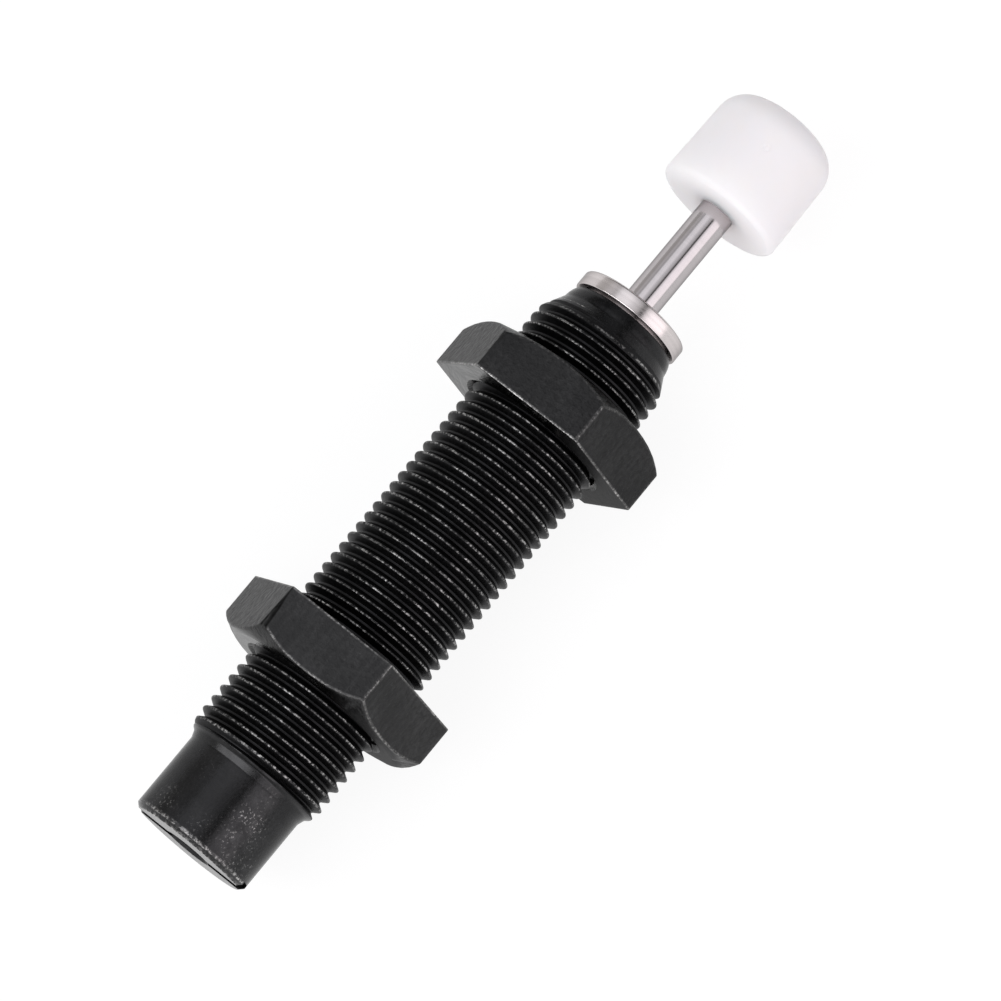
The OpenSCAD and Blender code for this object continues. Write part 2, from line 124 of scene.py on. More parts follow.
class Skin:
    """Grids of corners that are collected, then merged into one closed mesh."""

    def __init__(self):
        self.points, self.faces, self.count = [], [], 0

    def grid(self, x, y, z, closed=True):
        """A grid of corners, given as three arrays of one shape."""
        rows, cols = x.shape
        self.points.append(np.stack([x, y, z], -1).reshape(-1, 3))
        self.faces.append(grid_faces(rows, cols, self.count, closed))
        self.count += rows * cols

    def polar(self, x, r, angles, closed=True):
        """A grid of corners at station x, with y = r cos a and z = r sin a."""
        x, r, angles = np.broadcast_arrays(x, r, angles)
        self.grid(x, r * np.cos(angles), r * np.sin(angles), closed)

    def revolve(self, profile, angles, closed=True):
        """Each (x, r) of the profile becomes a ring."""
        p = np.asarray(profile, float)
        self.polar(p[:, :1], p[:, 1:], angles, closed)

    def piece(self, name, sharp=32, wear_and_shade=None):
        """The merged mesh as an object, smooth but for edges above sharp degrees. The last argument
        is the rule for the attribute of its name, worn edges and below zero painted shade, and
        takes the corners in millimetres."""
        co = np.concatenate(self.points) * MM
        quads = np.concatenate(self.faces)
        mesh = bpy.data.meshes.new(name)
        mesh.vertices.add(len(co))
        mesh.vertices.foreach_set("co", co.ravel())
        mesh.loops.add(quads.size)
        mesh.loops.foreach_set("vertex_index", quads.ravel())
        mesh.polygons.add(len(quads))
        mesh.polygons.foreach_set("loop_start", np.arange(len(quads)) * 4)
        mesh.polygons.foreach_set("loop_total", np.full(len(quads), 4))
        mesh.update(calc_edges=True)
        bm = bmesh.new()
        bm.from_mesh(mesh)
        bmesh.ops.remove_doubles(bm, verts=bm.verts, dist=2e-7)
        bmesh.ops.dissolve_degenerate(bm, edges=bm.edges, dist=1e-7)
        bmesh.ops.recalc_face_normals(bm, faces=bm.faces)
        bm.to_mesh(mesh)
        bm.free()
        mesh.polygons.foreach_set("use_smooth", np.ones(len(mesh.polygons), bool))
        mesh.set_sharp_from_angle(angle=math.radians(sharp))
        if wear_and_shade:
            at = np.empty(len(mesh.vertices) * 3)
            mesh.vertices.foreach_get("co", at)
            layer = mesh.attributes.new("wear_and_shade", "FLOAT", "POINT")
            layer.data.foreach_set("value", wear_and_shade(at.reshape(-1, 3) / MM).astype(np.float32))
        mesh.update()
        obj = bpy.data.objects.new(name, mesh)
        bpy.context.scene.collection.objects.link(obj)
        return obj


def ring_angles(count):
    """Angles of a ring with that many columns."""
    return np.arange(count) / count * TAU


def arc(centre_x, centre_r, radius, from_deg, to_deg, steps):
    """Points (x, r) on a quarter or part of a circle; 0 degrees points along +x."""
    a = np.radians(np.linspace(from_deg, to_deg, steps))
    return np.stack([centre_x + radius * np.cos(a), centre_r + radius * np.sin(a)], -1)


def smooth_step(t):
    """0 below 0, 1 above 1, and 3t^2 - 2t^3 between."""
    t = np.clip(t, 0, 1)
    return t * t * (3 - 2 * t)


def near(value, place, width):
    """1 where value is at place, falling straight to 0 at width from it."""
    return np.clip(1 - np.abs(value - place) / width, 0, 1)


# ---- Body ----

# The turned blank before the thread is cut, by station and radius
BLANK = np.array([
    (REAR_LEN, REAR_R), (6.55, REAR_R + 0.01),          # plain rear end
    (7.07, REAR_R + 0.2), (7.13, REAR_R + 0.25),        # slight cone
    (7.28, 5.56), (7.4, 5.68), (8.2, CREST_R),          # step, and the first crest growing up
    (NOSE_FROM, CREST_R), (50.5, 4.89),                 # nose cone
    (50.9, 4.83), (51.25, 4.73), (BODY_END, 4.56),      # edge rolled over the gland
])
# Rows of the thread's surface within one pitch: close together on the crest and in the root
THREAD_PHASES = np.array([-0.5, -0.42, -0.36, -0.3, -0.21, -0.13, -0.09, -0.06, -0.03,
                          0, 0.03, 0.06, 0.09, 0.13, 0.21, 0.3, 0.36, 0.42])


def thread_height(phase):
    """Height of the thread, 1 on the crest at phase 0 and 0 in the root at phase 0.5: a 60 degree
    ramp from the crest flat of an eighth of the pitch to a narrow root flat, averaged over a
    short window so that crest and root are round."""
    root_from, flank, window = 0.42, 0.355, 0.055

    def ramp(p):
        return np.clip((root_from - np.abs(p - np.round(p))) / flank, 0, 1)

    taps = np.linspace(-1, 1, 9)
    weight = np.cos(taps * math.pi / 2.2)
    return sum(w * ramp(phase + window * t) for t, w in zip(taps, weight)) / weight.sum()


def blank_radius(x):
    """Radius of the turned blank."""
    return np.interp(x, BLANK[:, 0], BLANK[:, 1])


def body_radius(x, angle):
    """The blank, cut down to the helical thread where the thread is lower than the blank."""
    phase = (x - CREST_START - angle / TAU) / PITCH
    thread = ROOT_R + (CREST_R - ROOT_R) * thread_height(phase)
    blank = blank_radius(x)
    cut = np.clip(blank - thread, 0, None) * smooth_step((x - RUN_OUT_FROM) / RUN_OUT_LEN)
    return blank - cut


def slot_angles(r, in_slot=5, per_land=42):
    """Angles across one end of the slot, and over the land beside it, at radius r: the slot's
    edges lie at the arcsine of half the slot over r on either side of the Y axis."""
    s = np.arcsin(np.clip(SLOT_HALF / r, 0, 1))
    return np.linspace(-s, s, in_slot), np.linspace(s, math.pi - s, per_land)


def ring_with_slot(r):
    """Angles of a whole ring whose columns fall on the slot's edges at radius r."""
    slot, land = slot_angles(r)
    half = np.concatenate([slot[:-1], land[:-1]])
    return np.concatenate([half, half + math.pi])


def rear_face(skin):
    """Rings from the fill hole to the rim with the slot let in, the slot's walls, and the first
    stretch of the rim and of the hole, from the land or from the slot's floor inwards."""
    rim_r, mouth_r = REAR_R - REAR_EDGE, FILL_R + FILL_CHAMFER
    radii = np.array([FILL_R, FILL_R + 0.12, mouth_r, 2.1, 2.7, 3.4, 4.1, 4.55,
                      rim_r - 0.05, rim_r, REAR_R - 0.28, REAR_R - 0.08, REAR_R])
    level = np.maximum(np.clip(mouth_r - radii, 0, None), np.clip(radii - rim_r, 0, None))
    wall = np.stack([level, (level + SLOT_DEPTH) / 2, np.full(len(radii), SLOT_DEPTH)], 1)
    r = radii[:, None]
    for turn in (0, math.pi):
        slot, land = (np.stack(part) + turn for part in zip(*map(slot_angles, radii)))
        skin.polar(SLOT_DEPTH, r, slot, closed=False)
        skin.polar(level[:, None], r, land, closed=False)
        skin.polar(wall, r, slot[:, :1], closed=False)
        skin.polar(wall, r, slot[:, -1:], closed=False)
        for ring_r, stations in ((REAR_R, (REAR_EDGE, REAR_EDGE + 0.08, SLOT_DEPTH, BELOW_SLOT)),
                                 (FILL_R, (FILL_CHAMFER, SLOT_DEPTH, BELOW_SLOT))):
            in_slot, on_land = slot_angles(ring_r)
            for angles, xs in ((in_slot, (SLOT_DEPTH, BELOW_SLOT)), (on_land, stations)):
                skin.revolve([(x, ring_r) for x in xs], angles + turn, closed=False)


def threaded_body():
    """Rear face with its slot and fill hole, plain rear end, helical thread, rolled nose, bore."""
    skin = Skin()
    rear_face(skin)
    rim = ring_with_slot(REAR_R)

    # Hole, drill cone, passage, bore and lip, whose columns turn from the hole's to the rim's
    inside = np.array([(BELOW_SLOT, FILL_R), (FILL_DEPTH, FILL_R), (CONE_END, PASSAGE_R),
                       (REAR_WALL, PASSAGE_R), (REAR_WALL, BORE_R), (LIP_X, BORE_R), (LIP_X, LIP_R),
                       (BODY_END - 0.12, LIP_R), (BODY_END, LIP_R + 0.12)])
    blend = np.linspace(0, 1, len(inside))[:, None] ** 0.5
    skin.polar(inside[:, :1], inside[:, 1:], ring_with_slot(FILL_R) * (1 - blend) + rim * blend)

    # Plain rear end up to the thread
    xs = np.array([BELOW_SLOT, 1.5, 3.0, 4.5, REAR_LEN - 0.1, REAR_LEN, 6.5, 6.55, 6.6, 6.75, 6.9,
                   THREAD_FROM])
    skin.revolve(np.stack([xs, blank_radius(xs)], -1), rim)

    # Thread: rows follow the helix, x = s + pitch * angle / tau, and are held at both ends
    turns = np.arange(math.floor(THREAD_FROM) - 2, math.ceil(THREAD_TO) + 1)
    s = CREST_START + (turns[:, None] + THREAD_PHASES).ravel() * PITCH
    a = np.concatenate([rim, [rim[0] + TAU]])
    x = np.clip(s[:, None] + a / TAU * PITCH, THREAD_FROM, THREAD_TO)
    skin.polar(x, body_radius(x, a), a, closed=False)

    # Nose
    xs = np.array([THREAD_TO, 50.5, 50.6, 50.75, 50.9, 51.05, 51.15, 51.25, 51.35, 51.45, 51.55])
    nose = np.stack([xs, blank_radius(xs)], -1)
    skin.revolve([*nose, (BODY_END, 4.50), (BODY_END, LIP_R + 0.12)], rim)

    def wear_and_shade(at):
        """The thread's crests, and the edges between rear face, chamfer and rear end."""
        x, r = at[:, 0], np.hypot(at[:, 1], at[:, 2])
        phase = x - CREST_START - np.arctan2(at[:, 2], at[:, 1]) / TAU
        on_thread = (x > 7.55) * (x < 50.2) * (r > 5.2)
        crest = np.clip((thread_height(phase) - 0.86) / 0.14, 0, 1) * on_thread
        rim_edge = near(r, REAR_R, 0.07) * near(x, REAR_EDGE, 0.18)
        face_edge = near(r, REAR_R - REAR_EDGE, 0.12) * near(x, 0, 0.12)
        return np.maximum(crest, np.clip(1.6 * np.maximum(rim_edge, face_edge), 0, 1))

    return skin.piece("threaded_body", wear_and_shade=wear_and_shade)


# ---- Jam nuts ----

def nut_outline(rubbed=False):
    """Rounded hexagon with flats above and below: straight sides, and arcs of a small radius.
    Where it is rubbed, the corner at 60 degrees is cut straight across, by one length of the
    side before it and another of the side after it."""
    edge = 0.14                # radius of a corner
    half = NUT_HALF_AF / math.sqrt(3)
    inset = edge * math.tan(math.radians(30))
    along = np.array([0, 0.015, 0.05, 0.15, 0.28, 0.4, 0.5, 0.6, 0.72, 0.85, 0.95, 0.985, 1])
    along = along[:, None]
    ends, starts, arcs, sides = [], [], [], []
    for k in range(6):
        a = math.radians(90 + 60 * k)
        n, t = np.array([math.cos(a), math.sin(a)]), np.array([-math.sin(a), math.cos(a)])
        starts.append(n * NUT_HALF_AF - t * (half - (RUBBED_NEAR if rubbed and k == 0 else inset)))
        ends.append(n * NUT_HALF_AF + t * (half - (RUBBED_FAR if rubbed and k == 5 else inset)))
        turn = a + np.radians([12, 30, 48])
        middle = n * (NUT_HALF_AF - edge) + t * (half - inset)
        arcs.append(middle + edge * np.stack([np.cos(turn), np.sin(turn)], -1))
    if rubbed:
        share = np.array([0.12, 0.5, 0.88])[:, None]
        arcs[5] = ends[5] * (1 - share) + starts[0] * share
    for k in range(6):
        sides += [starts[k] * (1 - along) + ends[k] * along, arcs[k]]
    return np.concatenate(sides)


def chamfer_depth(rho):
    """Depth of the chamfer's surface from the flat face, at rho from the axis. It is a tumbled
    cone of 30 degrees: between the face radius F and a corner at C it lies
    (C - F) tan 30 ((rho - F) / (C - F))^power before the end."""
    share = np.clip((rho - NUT_FACE_R) / CORNER_REACH, 0, None)
    return NUT_T - CORNER_REACH * CHAMFER_SLOPE * share ** CHAMFER_POWER


def jam_nut(name, flat_x, towards, turned=0.0, rub=1.0, skew=(0.0, 0.0), arc_rub=1.0):
    """A nut with its flat face at flat_x and its chamfered face NUT_T further on, along towards.
    One corner is rubbed flat by the share rub, more and more towards the chamfer, and rub also sets
    how dark the painted shade along that corner is. The bore's mouth holds the run-out of the
    thread. The nut stands turned degrees off its lower flat, and skew is how far its flat face is
    from square: an offset, and a rise along y. arc_rub is how bare the chamfer's arcs are."""
    tilt = math.radians(turned)
    spin = np.array([[math.cos(tilt), math.sin(tilt)], [-math.sin(tilt), math.cos(tilt)]])
    fresh, worn_flat = nut_outline() @ spin, nut_outline(True) @ spin
    rows = []

    def outline_at(x):
        """The outline at depth x: from the fresh one at the flat face to the rubbed one."""
        share = (rub * np.clip(x / NUT_T, 0, 1))[:, None]
        out = fresh * (1 - share) + worn_flat * share
        return out, np.hypot(out[:, 0], out[:, 1])

    def side_row(station, inwards):
        """A row on the outside, inwards of the outline. station gives its depth from rho."""
        rho = np.hypot(fresh[:, 0], fresh[:, 1])
        for _ in range(3):
            out, rho = outline_at(station(rho))
        rows.append((station(rho), out / rho[:, None], rho - inwards))

    def round_row(depth, radius):
        """A row inside the outline: a circle, or the radius of each column."""
        out, rho = outline_at(np.full(len(fresh), 0.0 if depth < NUT_T / 2 else NUT_T))
        rows.append((np.full(len(out), depth), out / rho[:, None], radius * np.ones(len(out))))

    # Flat face, its small edge radius and the sides
    round_row(0, SINK_R)
    round_row(0, 7.2)
    for depth, inwards in ((0, 0.25), (0, 0.09), (0.02, 0.03), (0.07, 0), (0.2, 0),
                           (NUT_T * 0.4, 0)):
        side_row(lambda rho, depth=depth: np.full(rho.shape, depth), inwards)

    # Chamfer with a rounded edge, and the end face
    for lift, inwards in ((-0.16, 0), (-0.05, 0), (0.018, 0.02), (0.03, 0.11), (0, 0.3)):
        def station(rho, lift=lift, inwards=inwards):
            return np.minimum(chamfer_depth(rho - inwards) + lift, NUT_T - 0.002)
        side_row(station, inwards)
    for radius in (NUT_FACE_R + 0.05, NUT_FACE_R - 0.05, 7.0, SINK_R + 0.03):
        round_row(NUT_T, radius)

    # Bore with a countersink at each end
    handed = np.arctan2(fresh[:, 1], fresh[:, 0]) / TAU * (1 if towards > 0 else -1)
    lead_in, half_width, height, grows_over = 0.15, 0.22, 0.34, 0.25

    def mouth(depth, offset):
        """Countersink with the first turn of the thread standing in it as a ridge that grows."""
        cone = NUT_BORE_R + np.clip(NUT_SINK - depth, 0, None)
        p = depth - lead_in - ((handed + offset) % 1.0)
        ridge = near(p, np.round(p), half_width) * smooth_step(depth / grows_over)
        return np.maximum(cone - height * ridge, NUT_BORE_R)

    depths = (0.05, 0.1, 0.16, 0.22, 0.28, 0.34, 0.4, 0.5, 0.6, 0.7)
    for d in depths:
        round_row(NUT_T - d, mouth(d, START_AT_CHAMFER))
    for d in depths[::-1]:
        round_row(d, mouth(d, START_AT_FLAT))
    rows.append(rows[0])

    x = np.stack([depth for depth, _, _ in rows])
    y, z = (np.stack([radius * out[:, k] for _, out, radius in rows]) for k in (0, 1))
    out_of_square = (skew[0] + skew[1] * y) * np.clip(1 - x / NUT_T, 0, 1)
    skin = Skin()
    skin.grid(flat_x + towards * x + out_of_square, y, z)

    def wear_and_shade(at):
        """The chamfer's arcs, the rim of the flat face, the six corners and the thread's start,
        and below zero painted shade: a strip along the rubbed corner for its dark reflection."""
        y, z = at[:, 1], at[:, 2]
        r, around = np.hypot(y, z), np.arctan2(z, y) - tilt
        side = (around - math.pi / 3) % (math.pi / 3) - math.pi / 6
        reach = NUT_HALF_AF / np.cos(side)
        lean = skew[0] + skew[1] * y
        d = (at[:, 0] - flat_x - lean) / (towards - lean / NUT_T)
        outside = np.clip(1 - (reach - r) / 0.12, 0, 1)
        fade = np.where(y > 4.4, 0.15, 0.75) * np.where(y < -4.8, np.clip(0.4 + z / 8, 0.3, 1), 1)
        arcs = arc_rub * near(d, chamfer_depth(reach), 0.1) * outside * fade
        rim = near(d, 0.03, 0.1) * outside
        between = (d > 0.02) * (d < NUT_T - 0.9) * (y < 3)
        corner = 0.5 * near(np.abs(side), math.pi / 6, 0.012) * outside * between
        depth = np.minimum(d, NUT_T - d)
        above_sink = (r < SINK_R - 0.06) * (SINK_R - depth - r > 0.1) * (depth < 0.4)
        bare = np.maximum.reduce([arcs, rim, corner, 0.75 * above_sink])
        # Painted shade: a strip on the rubbed corner, wider towards the chamfer, stands in for the
        # dark reflection there
        painted_shade_strip = (np.abs(around - math.pi / 3) < 0.052 * d / NUT_T) * (d > 0.1) * (d < NUT_T - 0.5)
        return np.where(painted_shade_strip * outside * rub > 0, -rub, bare)

    return skin.piece(name, sharp=26, wear_and_shade=wear_and_shade)


def finish_by_station(obj, start_x, end_x):
    """Second finish for the faces whose middle lies between two stations along the axis."""
    mesh = obj.data
    middle = np.empty(len(mesh.polygons) * 3)
    mesh.polygons.foreach_get("center", middle)
    x = middle[0::3] / MM
    mesh.polygons.foreach_set("material_index", ((x > start_x) & (x < end_x)).astype(np.int32))
    mesh.update()


# ---- Collar, rod, bumper and spring ----

def stop_ring():
    """Flange with rounded edges in front of the nose, and the shank that sits in the lip."""
    bore, shank, rear_edge, front_edge, mouth = ROD_R + 0.15, LIP_R - 0.01, 0.12, 0.2, 0.2
    rear, front, r = COLLAR_FROM_NOSE, COLLAR_END, COLLAR_R
    path = [(LIP_X, bore), (LIP_X, shank), (rear, shank), (rear, r - 0.14),
            *arc(rear + rear_edge, r - rear_edge, rear_edge, 180, 90, 5),
            *arc(front - front_edge, r - front_edge, front_edge, 90, 0, 7),
            (front, r - 0.35), (front, 3.2), (front, bore + mouth),
            (front - 0.06, bore + 0.08), (front - mouth, bore), (LIP_X, bore)]
    skin = Skin()
    skin.revolve(path, ring_angles(160))

    def wear_and_shade(at):
        """The rounding at the front, most of all a little behind the face."""
        return near(np.hypot(at[:, 1], at[:, 2]), r, 0.1) * near(at[:, 0], front - 0.08, 0.14)

    return skin.piece("stop_ring", wear_and_shade=wear_and_shade)


def polished_rod():
    """Ground rod with the piston's tail and its head behind, and the snap groove in front."""
    rear, front = span("piston_rod", 0)
    tail_r, head_r, head_end, point = 1.1, 1.4, rear + 0.4, 0.3
    groove_from, groove_to, groove_r = CAP_X + 3.0, CAP_X + 3.8, ROD_R - 0.2
    path = [(rear, 0), (rear, head_r - 0.1), (rear + 0.1, head_r), (head_end, head_r),
            (head_end, tail_r), (PISTON_FRONT, tail_r), (PISTON_FRONT, ROD_R),
            *((x, ROD_R) for x in np.linspace(PISTON_FRONT + 1, CAP_X - 0.5, 24)),
            (groove_from, ROD_R), (groove_from, groove_r), (groove_to, groove_r),
            (groove_to, ROD_R), (front - point, ROD_R), (front, ROD_R - point), (front, 0)]
    skin = Skin()
    skin.revolve(path, ring_angles(128))
    return skin.piece("polished_rod", sharp=30)


def bumper():
    """Moulded plug: a side that narrows a little towards the front, a small edge radius behind,
    a wide one in front and a front face with a slight crown. The gate mark on its side is a
    shallow ring, -depth * exp(-((rho - ring) / width)^2) at rho from its middle."""
    rear_edge, front_edge, taper, grip = 0.5, 2.3, 0.14, ROD_R + 0.01
    gate_ring, gate_width, gate_depth = 0.25, 0.07, 0.035
    front_r = CAP_R - taper
    across_gate = np.linspace(-0.45, 0.45, 23)

    # Pocket for the rod with the snap bead in it, and the rear face
    pocket = [(5.02, 0), (5.02, grip), (3.79, grip), (3.79, grip - 0.2), (3.01, grip - 0.2),
              (3.01, grip), (0.15, grip), (0, grip + 0.12), (0, 2.6), (0, CAP_R - rear_edge - 0.3)]
    side = np.union1d(np.linspace(1, 6.4, 28), GATE_X - CAP_X + across_gate)
    narrowing = (side - rear_edge) / (CAP_END - CAP_X - front_edge - rear_edge)
    p = np.concatenate([
        np.array(pocket) + (CAP_X, 0),
        arc(CAP_X + rear_edge, CAP_R - rear_edge, rear_edge, 180, 90, 9),
        np.stack([CAP_X + side, CAP_R - taper * narrowing], -1),
        arc(CAP_END - front_edge, front_r - front_edge, front_edge, 90, 6, 26),
        [(CAP_END, front_r - 2.5), (CAP_END, 1.6), (CAP_END, 0)],
    ])
    gate = math.radians(GATE_ANGLE)
    a = np.union1d(ring_angles(200), gate + across_gate / CAP_R)
    x, r = p[:, :1], p[:, 1:]
    rho = np.hypot(x - GATE_X, (a - gate) * CAP_R)
    mark = gate_depth * np.exp(-((rho - gate_ring) / gate_width) ** 2)
    skin = Skin()
    skin.polar(x, r - np.where(r > CAP_R - 0.3, mark, 0), a)
    return skin.piece("bumper", sharp=30)


def coil_spring():
    """Round wire along a helix that closes at both ends: after t turns its middle is at (x(t),
    R cos t, R sin t), and x rises by a wire and a gap per closed turn, by more between."""
    rear, front = span("return_spring", 0)
    half = WIRE_D / 2
    coil_r = span("return_spring", 2)[1] - half
    turns = WORKING_TURNS + 2 * CLOSED_TURNS
    rise = CLOSED_TURNS * (WIRE_D + COIL_GAP)
    t = np.linspace(0, turns, round(turns * 40) + 1)
    t = np.concatenate([[0, 0, 0], t, [turns] * 3])
    middle = np.interp(t, [0, CLOSED_TURNS, turns - CLOSED_TURNS, turns],
                       [rear + half, rear + half + rise, front - half - rise, front - half])
    wire = np.full(len(t), half)
    wire[:3] = wire[:-4:-1] = (0, half * 0.6, half * 0.9)
    middle, wire, t = middle[:, None], wire[:, None], t[:, None]
    ring = ring_angles(14)
    skin = Skin()
    skin.polar(middle + wire * np.sin(ring), coil_r + wire * np.cos(ring), TAU * t)
    return skin.piece("coil_spring", sharp=40)


# ---- Shader groups ----

def node(tree, kind, **values):
    n = tree.nodes.new(kind)
    for k, v in values.items():
        setattr(n, k, v)
    return n


def feed(tree, socket, value):
    """Gives a socket a number, a colour, or what another socket puts out."""
    if isinstance(value, (int, float)):
        socket.default_value = value
    elif isinstance(value, tuple):
        socket.default_value = (*value, 1)
    else:
        tree.links.new(value, socket)


def new_group(name, inputs, outputs):
    """An empty group, and its ends: inputs with their first values, and outputs."""
    g = bpy.data.node_groups.new(name, "ShaderNodeTree")
    for label, value in inputs.items():
        socket = g.interface.new_socket(label, in_out="INPUT", socket_type="NodeSocketFloat")
        socket.default_value = value
    for label in outputs:
        g.interface.new_socket(label, in_out="OUTPUT", socket_type="NodeSocketFloat")
    return g, node(g, "NodeGroupInput").outputs, node(g, "NodeGroupOutput").inputs


def use(tree, group, **values):
    n = node(tree, "ShaderNodeGroup", node_tree=group)
    for k, v in values.items():
        feed(tree, n.inputs[k], v)
    return n.outputs


def object_point(tree):
    return node(tree, "ShaderNodeTexCoord").outputs["Object"]


def parts_of(tree, vector):
    """The three numbers of a vector."""
    n = node(tree, "ShaderNodeSeparateXYZ")
    feed(tree, n.inputs[0], vector)
    return n.outputs


def math_node(tree, op, a, b=None, clamp=False):
    n = node(tree, "ShaderNodeMath", operation=op, use_clamp=clamp)
    feed(tree, n.inputs[0], a)
    if b is not None:
        feed(tree, n.inputs[1], b)
    return n.outputs[0]


def times(tree, a, b, clamp=False):
    return math_node(tree, "MULTIPLY", a, b, clamp)


def plus(tree, a, b, clamp=False):
    return math_node(tree, "ADD", a, b, clamp)


def noise(tree, vector, scale, detail=3.0, rough=0.55):
    n = node(tree, "ShaderNodeTexNoise")
    for k, v in (("Vector", vector), ("Scale", scale), ("Detail", detail), ("Roughness", rough)):
        feed(tree, n.inputs[k], v)
    return n.outputs["Fac"]


def remap(tree, value, lo, hi, to_lo=0.0, to_hi=1.0):
    """value, with lo to hi stretched to to_lo to to_hi and held at both ends."""
    n = node(tree, "ShaderNodeMapRange")
    for k, v in (("Value", value), ("From Min", lo), ("From Max", hi), ("To Min", to_lo),
                 ("To Max", to_hi)):
        feed(tree, n.inputs[k], v)
    return n.outputs["Result"]


def mix_colour(tree, fac, a, b):
    """Colour a where fac is 0, and colour b where it is 1."""
    n = node(tree, "ShaderNodeMix", data_type="RGBA")
    for k, v in ((0, fac), (6, a), (7, b)):
        feed(tree, n.inputs[k], v)
    return n.outputs[2]


def stretched(tree, x, y, z, along, across):
    """The point (x along, y across, z across)."""
    n = node(tree, "ShaderNodeCombineXYZ")
    for k, (value, scale) in enumerate(((x, along), (y, across), (z, across))):
        feed(tree, n.inputs[k], times(tree, value, scale))
    return n.outputs[0]


# Places on the rear end that a bracket or a hand has rubbed, in millimetres: middle, reach, share.
# Their lighter haze is partly wear and partly a painted sheen.
RUBBED_PLACES = (
    ((3.0, -3.3, 4.0), 2.5, 1.0), ((1.2, -1.2, 5.0), 1.6, 0.4), ((1.0, 2.6, 4.4), 2.0, 0.5),
    ((5.6, -2.6, 4.5), 1.8, 0.35), ((0.9, -4.4, 2.6), 2.2, 0.5), ((5.4, 2.0, 4.8), 1.6, 0.2),
)


def make_speckle_wear():
    """Worn edge: the edge mask, broken up by coarse patches and fine grains of bare metal, as
    edge * (fine * (0.15 + 0.85 patch) + amount)."""
    g, i, o = new_group("speckle_wear", {"Edge": 0.0, "Amount": 0.5, "Grain": 5000.0}, ["Mask"])
    at = object_point(g)
    fine = remap(g, noise(g, at, i["Grain"], 3.0, 0.65), 0.46, 0.62)
    patch = remap(g, noise(g, at, 700.0, 3.0, 0.6), 0.38, 0.6)
    broken = times(g, fine, plus(g, times(g, patch, 0.85), 0.15))
    feed(g, o["Mask"], times(g, i["Edge"], plus(g, broken, i["Amount"]), clamp=True))
    return g


def make_specks():
    """Small bare specks strewn over a surface where places of it are rubbed, and a lighter haze
    there that is partly wear and partly a painted sheen.
    """
    g, i, o = new_group("bare_specks", {"Share": 0.5}, ["Mask", "HazeAndSheen"])
    at = object_point(g)
    rubbed = 0.0
    for place, reach, much in RUBBED_PLACES:
        far = node(g, "ShaderNodeVectorMath", operation="DISTANCE")
        feed(g, far.inputs[0], at)
        far.inputs[1].default_value = [v * MM for v in place]
        here = remap(g, far.outputs["Value"], reach * MM, reach * 0.3 * MM, 0.0, much)
        rubbed = math_node(g, "MAXIMUM", here, rubbed)
    rubbed = times(g, rubbed, i["Share"], clamp=True)
    patch = remap(g, noise(g, at, 420.0, 3.0, 0.6), 0.38, 0.6)
    dots = remap(g, noise(g, at, 4600.0, 3.0, 0.66), 0.58, 0.66)
    feed(g, o["Mask"], times(g, dots, times(g, patch, rubbed)))
    # Lighter haze, faint everywhere and stronger on rubbed places: partly wear, partly painted
    # sheen
    haze_and_sheen = remap(g, noise(g, at, 900.0, 4.0, 0.75), 0.35, 0.7)
    feed(g, o["HazeAndSheen"], times(g, haze_and_sheen, plus(g, times(g, rubbed, 0.6), 0.12), clamp=True))
    return g


def make_drawn_marks():
    """Streaks along the axis, as drawing or milling leaves them: noise stretched along x."""
    g, i, o = new_group("drawn_marks", {"Length": 260.0}, ["Streak"])
    x, y, z = parts_of(g, object_point(g))
    feed(g, o["Streak"], noise(g, stretched(g, x, y, z, i["Length"], 2600.0), 1.0, 4.0, 0.65))
    return g


def make_fine_grain():
    """Even grain of a blasted or oxidised surface: a height and a slow mottle."""
    g, i, o = new_group("fine_grain", {"Size": 6000.0}, ["Height", "Mottle"])
    at = object_point(g)
    feed(g, o["Height"], noise(g, at, i["Size"], 3.0, 0.6))
    feed(g, o["Mottle"], noise(g, at, 320.0, 3.0, 0.5))
    return g


def make_turning_lines():
    """Fine rings left by the lathe: noise of the distance along the axis and of the radius."""
    g, i, o = new_group("turning_lines", {"Pitch": 9000.0, "Around": 60.0}, ["Height", "Streak"])
    x, y, z = parts_of(g, object_point(g))
    r = math_node(g, "SQRT", plus(g, times(g, y, y), times(g, z, z)))
    at = stretched(g, plus(g, x, r), y, z, i["Pitch"], i["Around"])
    feed(g, o["Height"], noise(g, at, 1.0, 3.0, 0.6))
    feed(g, o["Streak"], noise(g, at, 0.22, 3.0, 0.6))
    return g


WEAR, GRAIN, LINES = make_speckle_wear(), make_fine_grain(), make_turning_lines()
SPECKS, DRAWN = make_specks(), make_drawn_marks()


# ---- Materials ----

def new_material(name):
    """A material, its tree, and its shader."""
    m = bpy.data.materials.new(name)
    m.use_nodes = True
    return m, m.node_tree, m.node_tree.nodes["Principled BSDF"]


def new_metal(name, rim):
    """A material of bare metal. rim is how much of the gloss is left near the outline."""
    m, t, s = new_material(name)
    s.inputs["Metallic"].default_value = 1.0
    s.inputs["Specular Tint"].default_value = (rim, rim, rim, 1)
    return m, t, s


def shade(colour, share):
    """The colour, darker or lighter by one share."""
    return tuple(v * share for v in colour)


def bump(tree, shader, height, strength, distance):
    b = node(tree, "ShaderNodeBump")
    for k, v in (("Strength", strength), ("Distance", distance), ("Height", height)):
        feed(tree, b.inputs[k], v)
    feed(tree, shader.inputs["Normal"], b.outputs["Normal"])


